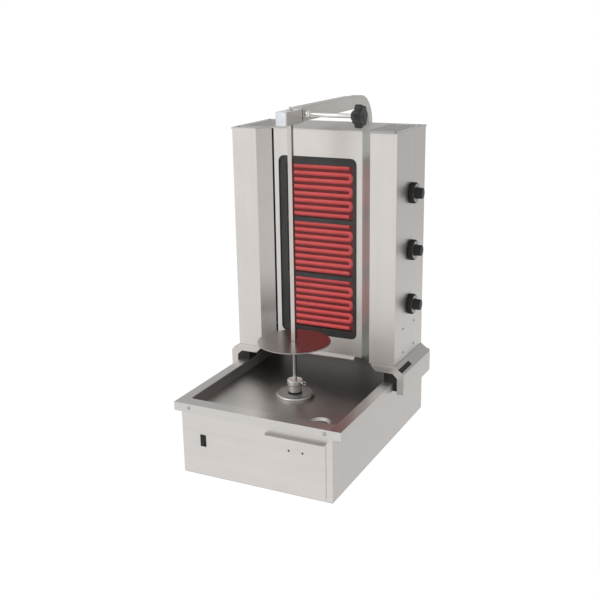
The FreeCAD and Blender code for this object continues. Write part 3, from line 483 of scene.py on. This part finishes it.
def heat_knob(level):
    """Ribbed skirt, dial ring with an index line, and a fluted grip."""
    node = f"knob_{level}"
    low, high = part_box(node)
    centre = Vector((low.x, (low.y + high.y) / 2, (low.z + high.z) / 2))
    deep = (high.x - low.x) / MM
    ribs = lambda angle: 1.0 + 0.028 * math.cos(36 * angle)
    flutes = lambda angle: 1.0 - 0.05 * max(0.0, math.cos(24 * angle)) ** 2

    def black(mesh):
        turned(mesh, centre, "x", [(0, 27.5, 1), (0.6, 29), (11, 28.8), (13.4, 27.6, 1),
                                   (13.8, 26.5, 1), (13.8, 4, 1)], 216, ribs)
        turned(mesh, centre, "x", [(13.2, 16.6, 1), (14.4, 16), (deep - 1.6, 15.3),
                                   (deep - 0.5, 14.2, 1), (deep, 12.5, 1)], 192, flutes)

    def ring(mesh):
        turned(mesh, centre, "x", [(13.7, 25.2), (14.1, 25.0), (14.1, 17.8), (13.7, 17.6)], 96)

    def index(mesh):
        half_width = 0.8 * MM
        block(mesh, (low.x + 14.0 * MM, centre.y - half_width, centre.z + 18.6 * MM),
              (low.x + 14.3 * MM, centre.y + half_width, centre.z + 24.6 * MM))

    made = piece(f"{node}_moulding", black, node, "black_plastic", "black_plastic")
    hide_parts(node)
    piece(f"{node}_ring", ring, node, "fastener_steel", "dial_ring", smooth=30)
    piece(f"{node}_index", index, node, "white_ptfe", "white_ptfe")


def dial_marks():
    """A short level mark above each knob, where the pointer stands when off."""
    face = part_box("wing_right")[1].x

    def marks(mesh):
        for level in ("top", "middle", "bottom"):
            centre = middle(f"knob_{level}")
            block(mesh, (face, centre.y - 0.7 * MM, centre.z + 34 * MM),
                  (face + 0.12 * MM, centre.y + 0.7 * MM, centre.z + 40 * MM))

    piece("dial_marks", marks, "carriage", "dark_screw", "dark_screw")


def star_grip():
    """Seven-lobed hand wheel with a domed crown."""
    low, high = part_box("star_knob")
    rod_low, rod_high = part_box("clamp_rod")
    centre = Vector((low.x, (rod_low.y + rod_high.y) / 2, (rod_low.z + rod_high.z) / 2))
    deep = (high.x - low.x) / MM
    lobes = lambda angle: 1.0 - 0.29 * (0.5 - 0.5 * math.cos(7 * angle)) ** 1.3

    def wheel(mesh):
        turned(mesh, centre, "x", [
            (0, 10.5, 1), (0.8, 12, 1), (6, 13.5, 1), (9.5, 19, 1), (10.5, 28), (12.5, 30.8),
            (16, 31.4), (deep - 9, 31.4), (deep - 5, 30.4), (deep - 2.6, 27.6),
            (deep - 1.6, 22, 1), (deep - 2.4, 18, 1), (deep - 2.2, 8, 1), (deep - 0.4, 5.5, 1),
            (deep, 2, 1)], 210, lobes)

    made = piece("star_knob_moulding", wheel, "star_knob", "black_plastic", "star_plastic",
                 smooth=60)
    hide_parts("star_knob")


def shells(node):
    """The boxes round the separate solids of one CAD node."""
    mesh = bmesh.new()
    mesh.from_mesh(NODES[node].data)
    bmesh.ops.remove_doubles(mesh, verts=mesh.verts, dist=0.00001)
    left, boxes = set(mesh.verts), []
    while left:
        found, edge = set(), [left.pop()]
        while edge:
            vert = edge.pop()
            found.add(vert)
            for link in vert.link_edges:
                other = link.other_vert(vert)
                if other in left:
                    left.discard(other)
                    edge.append(other)
        spots = [vert.co for vert in found]
        boxes.append((Vector([min(s[i] for s in spots) for i in range(3)]),
                      Vector([max(s[i] for s in spots) for i in range(3)])))
    mesh.free()
    return sorted(boxes, key=lambda pair: tuple(round(value, 4) for value in pair[0]))


FLANGE = 0.8
# Reach and thickness of the dark disc of painted contact shadow under each pan head.
SHADOW_REACH = 1.22
SHADOW_THICK = 0.12


def fasteners(node, body, slot, material, hexagon=False):
    """A thin dark disc of painted contact shadow and a cross-recessed pan head, or a hexagon head,
    at each CAD screw.
    """
    heads = []
    for low, high in shells(node):
        size = high - low
        axis = min("xyz", key=lambda letter: size["xyz".index(letter)])
        index = "xyz".index(axis)
        centre = (low + high) / 2
        outward = 1 if centre[index] > (CAD_BOX[0][index] + CAD_BOX[1][index]) / 2 else -1
        if hexagon and axis == "x":
            outward = 1 if centre.x > 0 else -1
        centre[index] = low[index] if outward > 0 else high[index]
        radius = max(size) / MM / 2
        heads.append((centre, axis, outward, radius, size[index] / MM))

    def bodies(mesh):
        for centre, axis, outward, radius, tall in heads:
            if hexagon:
                turned(mesh, centre, axis, [(0, radius), (FLANGE, radius)], 32, None, outward)
                turned(mesh, centre, axis, [
                    (FLANGE - 0.1, radius * 0.92), (tall - 0.4, radius * 0.92),
                    (tall, radius * 0.8)], 6, None, outward)
            else:
                turned(mesh, centre, axis, [
                    (0, radius), (tall * 0.45, radius * 0.98), (tall * 0.8, radius * 0.82),
                    (tall * 0.97, radius * 0.55), (tall * 0.99, radius * 0.15)], 32, None, outward)

    # Painted contact shadow: a thin dark disc round the foot of each pan head.
    def shadows(mesh):
        for centre, axis, outward, radius, tall in heads:
            reach = radius * SHADOW_REACH
            turned(mesh, centre, axis, [(0, reach), (SHADOW_THICK, reach)], 32, None, outward)

    def crosses(mesh):
        for centre, axis, outward, radius, tall in heads:
            along, across, up = AXES[axis]
            for long_way, short_way in ((across, up), (up, across)):
                reach = long_way * radius * 0.5 * MM + short_way * radius * 0.11 * MM
                top = centre + along * (outward * tall * MM)
                under = centre + along * (outward * tall * 0.8 * MM)
                corners = [top - reach, top + reach, under - reach, under + reach]
                block(mesh, [min(c[i] for c in corners) for i in range(3)],
                      [max(c[i] for c in corners) for i in range(3)])

    made = piece(f"{node}_heads", bodies, body, slot, material, smooth=50)
    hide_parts(node)
    if not hexagon:
        piece(f"{node}_recesses", crosses, body, "dark_screw", "dark_screw")
        piece(f"{node}_washers", shadows, body, "rubber", "rubber")


def roof_liner():
    """Bright insulation foil a little under the roof slots."""
    low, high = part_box("roof_plate")
    wing_low, wing_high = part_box("wing_right")

    def foil(mesh):
        for side in (-1, 1):
            ends = sorted((side * (wing_low.x + 6 * MM), side * (wing_high.x - 3 * MM)))
            block(mesh, (ends[0], wing_low.y + 34 * MM, wing_high.z - 1.2 * MM),
                  (ends[1], wing_high.y - 6 * MM, wing_high.z - 0.2 * MM))

    piece("roof_foil", foil, "carriage", "galvanised_steel", "insulation_foil")


def zone_blind():
    """An enamelled strip that covers the ends of the heating zones on the left."""
    low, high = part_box("glass_frame")
    coil_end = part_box("heating_coil_top")[0].x

    def strip(mesh):
        block(mesh, (coil_end - 8 * MM, low.y + 0.4 * MM, low.z + 12 * MM),
              (coil_end + 1.5 * MM, low.y + 1.2 * MM, high.z - 12 * MM))

    piece("zone_blind", strip, "carriage", "galvanised_steel", "frame_enamel")


def socket_slinger():
    """A black ring round the socket's foot: it stands for the shaft seal, and is also painted
    shade where the socket meets the boss.
    """
    low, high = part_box("spit_socket")
    centre = Vector(((low.x + high.x) / 2, (low.y + high.y) / 2, low.z))

    def ring(mesh):
        turned(mesh, centre, "z", [(0.2, 20.1), (2.8, 20.1), (3.1, 19.7)], 72)

    piece("socket_slinger", ring, "drive", "rubber", "rubber")


def sleeve_cap():
    """A folded end that closes the arm sleeve above the head block, and the dark joint line."""
    low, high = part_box("arm_sleeve")
    head_low, head_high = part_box("head_block")

    def cap(mesh):
        block(mesh, (low.x + 2 * MM, low.y + 0.6 * MM, head_high.z),
              (high.x - 2 * MM, low.y + 1.8 * MM, high.z - 1.8 * MM))

    def joint(mesh):
        block(mesh, (high.x, low.y - 0.5 * MM, head_low.z + 3 * MM),
              (high.x + 0.15 * MM, low.y + 2.4 * MM, head_high.z))

    piece("arm_sleeve_cap", cap, "base", "brushed_steel", "arm_steel")
    piece("arm_sleeve_joint", joint, "base", "rubber", "rubber")


def column_joint():
    """The shadow line where the column stands on its two saddles."""
    def lines(mesh):
        for side in ("left", "right"):
            low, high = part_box(f"wing_{side}")
            saddle_low, saddle_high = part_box(f"saddle_{side}")
            inner, outer = max(low.x, saddle_low.x), min(high.x, saddle_high.x)
            lip = 0.15 * MM
            block(mesh, (inner, low.y - lip, low.z), (outer, low.y, low.z + 0.9 * MM))
            face = high.x if side == "right" else low.x - lip
            block(mesh, (face, low.y - lip, low.z), (face + lip, high.y, low.z + 0.9 * MM))

    piece("column_joint", lines, "carriage", "rubber", "rubber")


for level in ("top", "middle", "bottom"):
    heat_knob(level)
dial_marks()
roof_liner()
zone_blind()
socket_slinger()
sleeve_cap()
column_joint()
star_grip()
fasteners("rim_screws", "base", "fastener_steel", "fastener_steel")
fasteners("column_screws", "carriage", "fastener_steel", "side_screw")
fasteners("drawer_screws", "drawer", "dark_screw", "dark_screw")
fasteners("bracket_bolts", "base", "fastener_steel", "fastener_steel", hexagon=True)


# ---------------------------------------------------------------- stage, camera and light
def white_floor():
    """A light table: even white, fading a little far out to the right."""
    size = 30.0
    mesh = bpy.data.meshes.new("floor")
    corners = [(-size, -size, 0), (size, -size, 0), (size, size, 0), (-size, size, 0)]
    mesh.from_pydata([Vector(c) for c in corners], [], [(0, 1, 2, 3)])
    floor = bpy.data.objects.new("floor", mesh)
    bpy.context.scene.collection.objects.link(floor)
    s = Surface("floor_light", (0.02, 0.02, 0.02), roughness=1.0)
    s.set("Specular IOR Level", 0.0)
    s.set("Emission Strength", 1.0)
    split = s.node("ShaderNodeSeparateXYZ")
    s.link(s.place(), split.inputs[0])
    aside = s.math("ADD", split.outputs["X"], s.math("MULTIPLY", split.outputs["Y"], 0.158))
    dim = s.spread(aside, 1.0, 0.75, 0.80, 2.2)
    shade = s.node("ShaderNodeCombineColor")
    for channel in ("Red", "Green", "Blue"):
        s.link(dim, shade.inputs[channel])
    s.link(shade.outputs["Color"], s.shader.inputs["Emission Color"])
    mesh.materials.append(s.material)


def camera():
    """A long lens from the front right, above the column's middle."""
    data = bpy.data.cameras.new("camera")
    data.sensor_width = 36.0
    data.lens = 56.74
    data.clip_start, data.clip_end = 0.05, 100.0
    made = bpy.data.objects.new("camera", data)
    bpy.context.scene.collection.objects.link(made)
    yaw, pitch, roll = -0.4618, 0.2938, -0.0169
    made.location = (1.13578, -2.34264, 1.21715)
    turn = Matrix.Rotation(-yaw, 3, "Z") @ Matrix.Rotation(math.pi / 2 - pitch, 3, "X")
    made.rotation_euler = (turn @ Matrix.Rotation(roll, 3, "Z")).to_euler()
    bpy.context.scene.camera = made


def area(name, place, aim, size, power, colour=(1, 1, 1)):
    data = bpy.data.lights.new(name, "AREA")
    data.shape = "RECTANGLE"
    data.size, data.size_y = size
    data.energy = power
    data.color = colour
    lamp = bpy.data.objects.new(name, data)
    bpy.context.scene.collection.objects.link(lamp)
    lamp.location = place
    lamp.rotation_euler = (Vector(aim) - Vector(place)).to_track_quat("-Z", "Y").to_euler()


def studio():
    """A tent of white cloth: bright at the front and left, dimmer behind, above and right."""
    world = bpy.data.worlds.new("studio")
    bpy.context.scene.world = world
    world.use_nodes = True
    tree = world.node_tree
    background = tree.nodes["Background"]
    coords = tree.nodes.new("ShaderNodeTexCoord")
    split = tree.nodes.new("ShaderNodeSeparateXYZ")
    tree.links.new(coords.outputs["Generated"], split.inputs[0])

    def ramp(source, start, end, low, high):
        made = tree.nodes.new("ShaderNodeMapRange")
        for key, number in (("From Min", start), ("From Max", end),
                            ("To Min", low), ("To Max", high)):
            made.inputs[key].default_value = number
        tree.links.new(source, made.inputs["Value"])
        return made.outputs["Result"]

    def times(a, b):
        made = tree.nodes.new("ShaderNodeMath")
        made.operation = "MULTIPLY"
        for socket, value in zip(made.inputs, (a, b)):
            tree.links.new(value, socket)
        return made.outputs[0]

    rear = ramp(split.outputs["Y"], -0.3, 0.6, 0.0, 0.42)
    above = ramp(split.outputs["Z"], 0.03, 0.2, 0.0, 1.0)
    right = ramp(split.outputs["X"], 0.0, 0.7, 1.0, 0.72)
    loss = times(rear, above)
    keep = ramp(loss, 0.0, 1.0, 1.0, 0.0)
    tree.links.new(times(keep, right), background.inputs["Strength"])
    background.inputs["Color"].default_value = (1.0, 1.0, 1.0, 1)
    area("key", (-1.6, -2.6, 2.4), (0, 0, 0.4), (2.0, 2.0), 20)


white_floor()
camera()
studio()
bpy.context.scene.view_settings.view_transform = "Standard"
